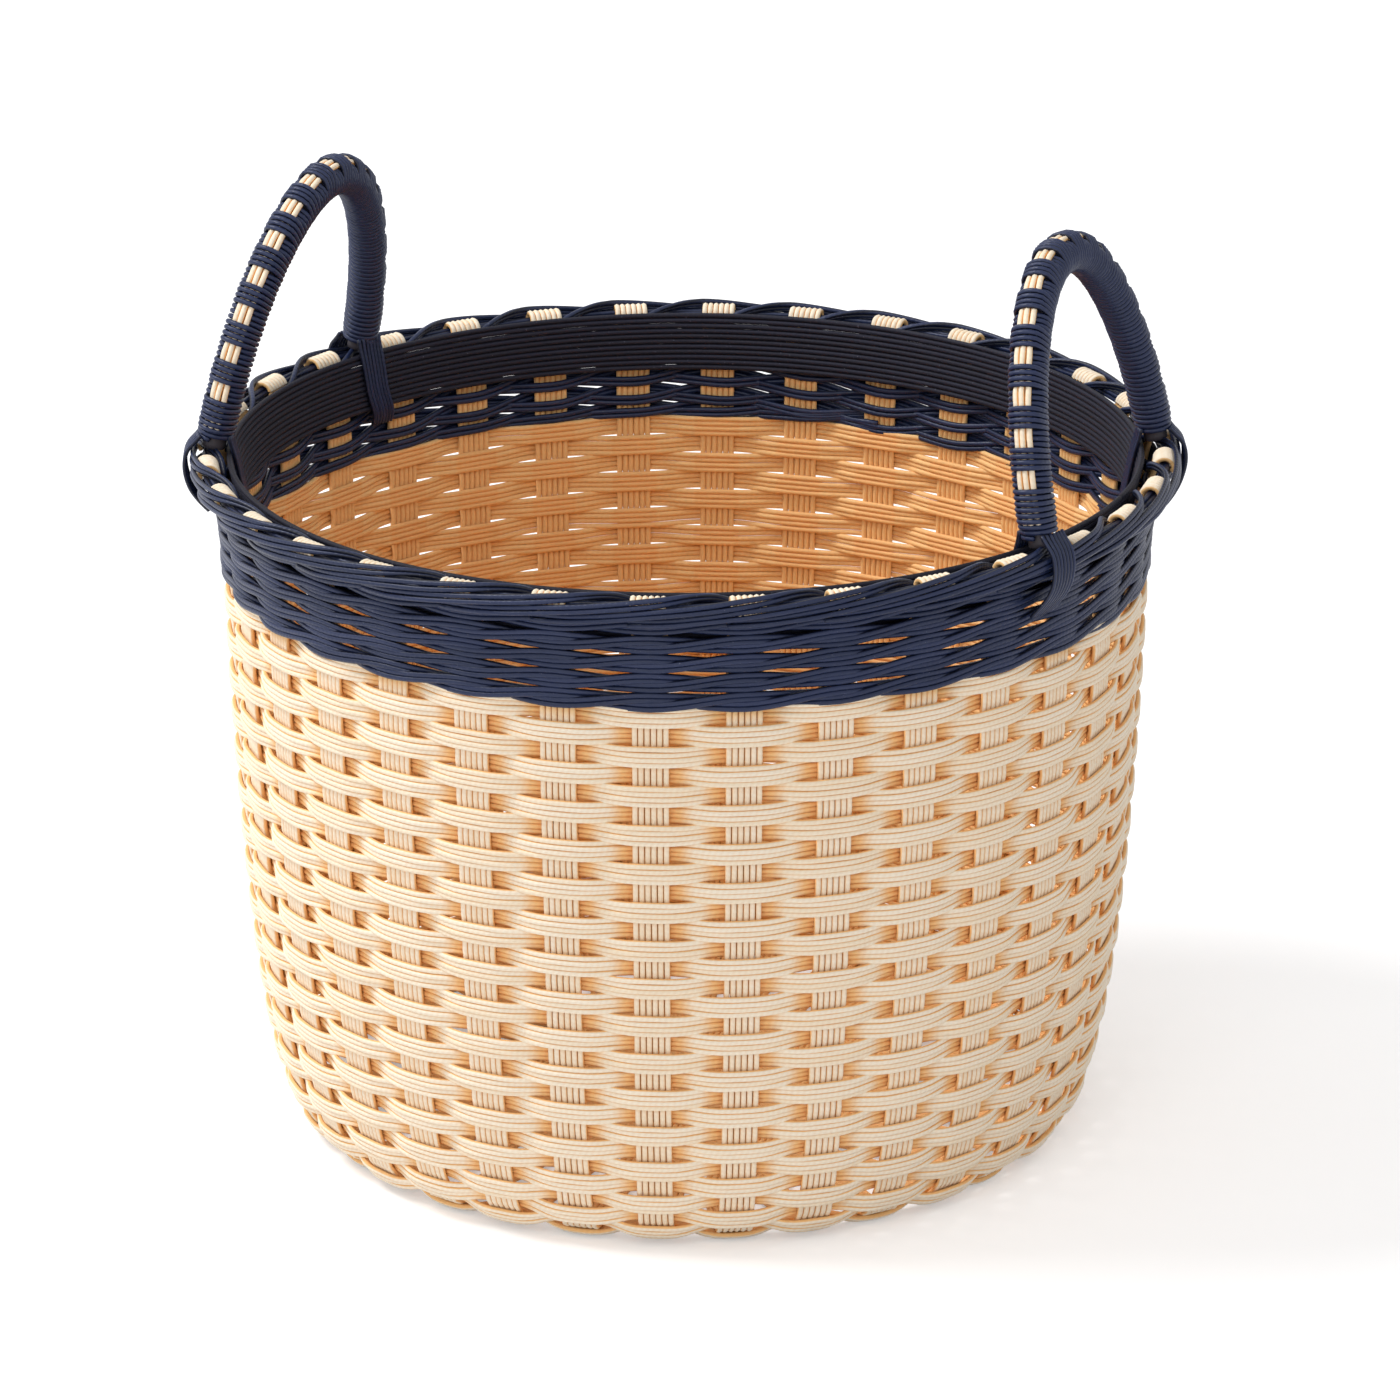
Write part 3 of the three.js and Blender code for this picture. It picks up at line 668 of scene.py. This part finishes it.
for label, facing in (("right", 1), ("left", -1)):
    turn = np.linspace(0, BINDING_TURNS, BINDING_TURNS * 20 + 1)
    s = BINDING_START + turn * bound / BINDING_TURNS
    wrap = np.floor(turn + 0.5) - PLAIN_TURNS
    last = BINDING_TURNS - PLAIN_TURNS
    under = (wrap % CYCLE_TURNS < UNDER_TURNS) & (turn > PLAIN_TURNS - 0.5) & (turn < last - 0.5)
    near = smooth((np.cos(2 * np.pi * turn) - 0.4) / 0.45)
    ends = smooth(1 - turn / 3) + smooth(1 - (BINDING_TURNS - turn) / 3)
    lift = BINDING_RADIUS + near * np.where(under, -UNDER_DIP, OVER_RISE * (1 - ends))
    lift = lift - END_DIP * ends
    lift = lift + wander(turn, 0.08, 5.0)
    line = on_arch(s + wander(turn, 0.08, 9.0), lift, 2 * np.pi * turn)
    lines = [(*place_handle(line, facing), BINDING_REED, 0.0)]
    piece = reeds(f"handle_binding_{label}_reed", lines)
    dress(piece, navy_finish, "navy_reed", f"handle_binding_{label}")
    lines = []
    s = np.linspace(BINDING_START + 5, total - BINDING_START - 5, 400)
    turns = (s - BINDING_START) * BINDING_TURNS / bound
    place = (turns - PLAIN_TURNS - (UNDER_TURNS - 1) / 2) / CYCLE_TURNS
    for reed in (-1, 0, 1):
        lift = INLAY_LIFT + 0.25 * np.cos(2 * np.pi * place) - 0.1 * abs(reed)
        lift = lift + wander(s, 0.06, 40.0)
        aside = np.full_like(s, reed * INLAY_REED / INLAY_LIFT) + wander(s, 0.012, 30.0)
        line = on_arch(s, lift, aside)
        lines.append((*place_handle(line, facing), 0.49 * INLAY_REED, 0.0))
    piece = reeds(f"handle_inlay_{label}_reeds", lines)
    dress(piece, reed_finish, "natural_reed", f"handle_inlay_{label}")
    s = np.linspace(0.5, total - 0.5, 160)
    line = on_arch(s, np.zeros_like(s), np.zeros_like(s))
    lines = [(*place_handle(line, facing), CANE_RADIUS, 0.5)]
    piece = reeds(f"handle_cane_{label}_rod", lines, 20)
    dress(piece, bare_cane, "cane", f"handle_cane_{label}")

# ---- Lashings ---------------------------------------------------------------------------
# Seven dark reeds side by side hold each leg of a handle to the wall, outside over the
# border and inside over the lining, and are tucked into the weave below.
LASHING_REEDS = 7
LASHING_REED_RADIUS = 0.92
LASHING_TOP_PITCH, LASHING_LOW_PITCH = 1.95, 1.75
OUTSIDE = [(203.0, 301.0), (205.2, 298.0), (208.0, 295.2), (209.4, 290.0), (209.2, 284.0)]
OUTSIDE = OUTSIDE + [(207.0, 277.0), (203.2, 271.0), (199.5, 267.0)]
INSIDE = [(189.4, 300.5), (189.2, 297.5), (188.4, 293.5), (187.2, 288.0), (185.6, 280.0)]
INSIDE = INSIDE + [(182.9, 267.0), (185.5, 262.0)]


def lashing_line(knots, angle, reed, tuck):
    """One reed down through (r, z) knots at an angle, tucked sideways into the weave."""
    knots = np.array(knots)
    reach = np.r_[0, np.cumsum(np.linalg.norm(np.diff(knots, axis=0), axis=1))]
    s = np.linspace(0, reach[-1], 26)
    r, z = np.interp(s, reach, knots[:, 0]), np.interp(s, reach, knots[:, 1])
    for _ in range(4):
        r[1:-1] = (r[:-2] + 2 * r[1:-1] + r[2:]) / 4
        z[1:-1] = (z[:-2] + 2 * z[1:-1] + z[2:]) / 4
    share = s / reach[-1]
    pitch = LASHING_TOP_PITCH + (LASHING_LOW_PITCH - LASHING_TOP_PITCH) * share
    aside = reed * pitch - tuck * smooth((share - 0.55) / 0.45) + wander(s, 0.06, 30.0)
    cos, sin = np.cos(angle), np.sin(angle)
    at = np.stack([r * cos - aside * sin, r * sin + aside * cos, z], -1)
    slope = unit(np.gradient(at, axis=0))
    side = np.array([-sin, cos, 0.0])
    out = unit(np.cross(side, slope))
    return at, out


for label, facing in (("right", 0.0), ("left", np.pi)):
    for leg, turn in enumerate((-LEG_ANGLE, LEG_ANGLE)):
        for place, knots, tuck in (("outer", OUTSIDE, 3.0), ("inner", INSIDE, 2.5)):
            lines = []
            for reed in np.arange(LASHING_REEDS) - LASHING_REEDS // 2:
                curl = (-0.09 if place == "outer" else 0.09) * reed**2
                bend = [(r + curl * (z > 296), z) for r, z in knots]
                at, out = lashing_line(bend, facing + turn, reed, tuck)
                lines.append((at, out, LASHING_REED_RADIUS, 0.0))
            name = f"lashing_{place}_{label}_{leg + 1}"
            dress(reeds(f"{name}_reeds", lines), navy_finish, "navy_reed", name)

# ---- Floor and light --------------------------------------------------------------------
# A plain white floor, one large soft lamp from the left, a wide faint one in front and an
# even white surround. The floor and surround look whiter than the light they give.
FLOOR_HALF = 9


def shown_rays(tree):
    """1 for what the camera sees, directly, mirrored or through glass, and 0 for light."""
    rays = (add_node(tree, "ShaderNodeLightPath", {}, output=i) for i in (0, 3, 6))
    direct, glossy, clear = rays
    return direct.math("MAXIMUM", direct, glossy.math("MAXIMUM", glossy, clear))


floor_mesh = bpy.data.meshes.new("floor")
corners = [(x * FLOOR_HALF, y * FLOOR_HALF, 0) for x, y in ((-1, -1), (1, -1), (1, 1), (-1, 1))]
floor_mesh.from_pydata(corners, [], [(0, 1, 2, 3)])
floor = bpy.data.objects.new("floor", floor_mesh)
bpy.context.scene.collection.objects.link(floor)
floor_finish, tree, shader = new_finish("white_floor")
shader.inputs["Base Color"].default_value = (0.86, 0.86, 0.87, 1)
shader.inputs["Roughness"].default_value = 0.9
shader.inputs["Specular IOR Level"].default_value = 0.1
place = add_node(tree, "ShaderNodeTexCoord", {}, output=3)
distance = add_node(tree, "ShaderNodeVectorMath", {"operation": "LENGTH"}, place, output=1)
glow = mixed(tree, smooth_step(tree, distance, 1.2, 4.0), (0.35, 0.35, 0.35), (0.7, 0.7, 0.7))
glow = mixed(tree, shown_rays(tree), (0.0, 0.0, 0.0), glow)
tree.links.new(glow.socket, shader.inputs["Emission Color"])
shader.inputs["Emission Strength"].default_value = 1.0
floor_mesh.materials.append(floor_finish)

world = bpy.data.worlds.new("surround")
bpy.context.scene.world = world
world.use_nodes = True
tree = world.node_tree
background = tree.nodes["Background"]
tree.links.new((0.62 + shown_rays(tree) * 0.38).socket, background.inputs["Strength"])
background.inputs["Color"].default_value = (1, 1, 1, 1)


def soft_lamp(name, place, target, size, power):
    data = bpy.data.lights.new(name, "AREA")
    data.shape, data.size, data.energy = "DISK", size, power
    lamp = bpy.data.objects.new(name, data)
    lamp.location = place
    aim = np.array(target) - np.array(place)
    tilt = np.arccos(-aim[2] / np.linalg.norm(aim))
    lamp.rotation_euler = (tilt, 0, np.arctan2(aim[1], aim[0]) - np.pi / 2)
    bpy.context.scene.collection.objects.link(lamp)


soft_lamp("key", (-2.1, -0.7, 3.0), (0, 0, 0.15), 1.5, 84)
soft_lamp("front", (0.3, -3.6, 2.4), (0, 0, 0.15), 2.4, 26)

# ---- Camera -----------------------------------------------------------------------------
# A long lens from a little to the right of the basket's front, far enough above the rim to
# see the lining and the far side of the weave inside.
camera_data = bpy.data.cameras.new("camera")
camera_data.lens, camera_data.sensor_width = 189.5, 36
camera = bpy.data.objects.new("camera", camera_data)
CAMERA_TURN, CAMERA_TILT, CAMERA_REACH = np.radians(21), np.radians(19.8), 3.12
aim = np.array([0.006 * np.cos(CAMERA_TURN), 0.006 * np.sin(CAMERA_TURN), 0.18])
level = np.cos(CAMERA_TILT)
away = np.array([level * np.sin(CAMERA_TURN), -level * np.cos(CAMERA_TURN), np.sin(CAMERA_TILT)])
camera.location = aim + CAMERA_REACH * away
camera.rotation_euler = (np.pi / 2 - CAMERA_TILT, 0, CAMERA_TURN)
bpy.context.scene.collection.objects.link(camera)
bpy.context.scene.camera = camera
bpy.context.scene.view_settings.view_transform = "Standard"
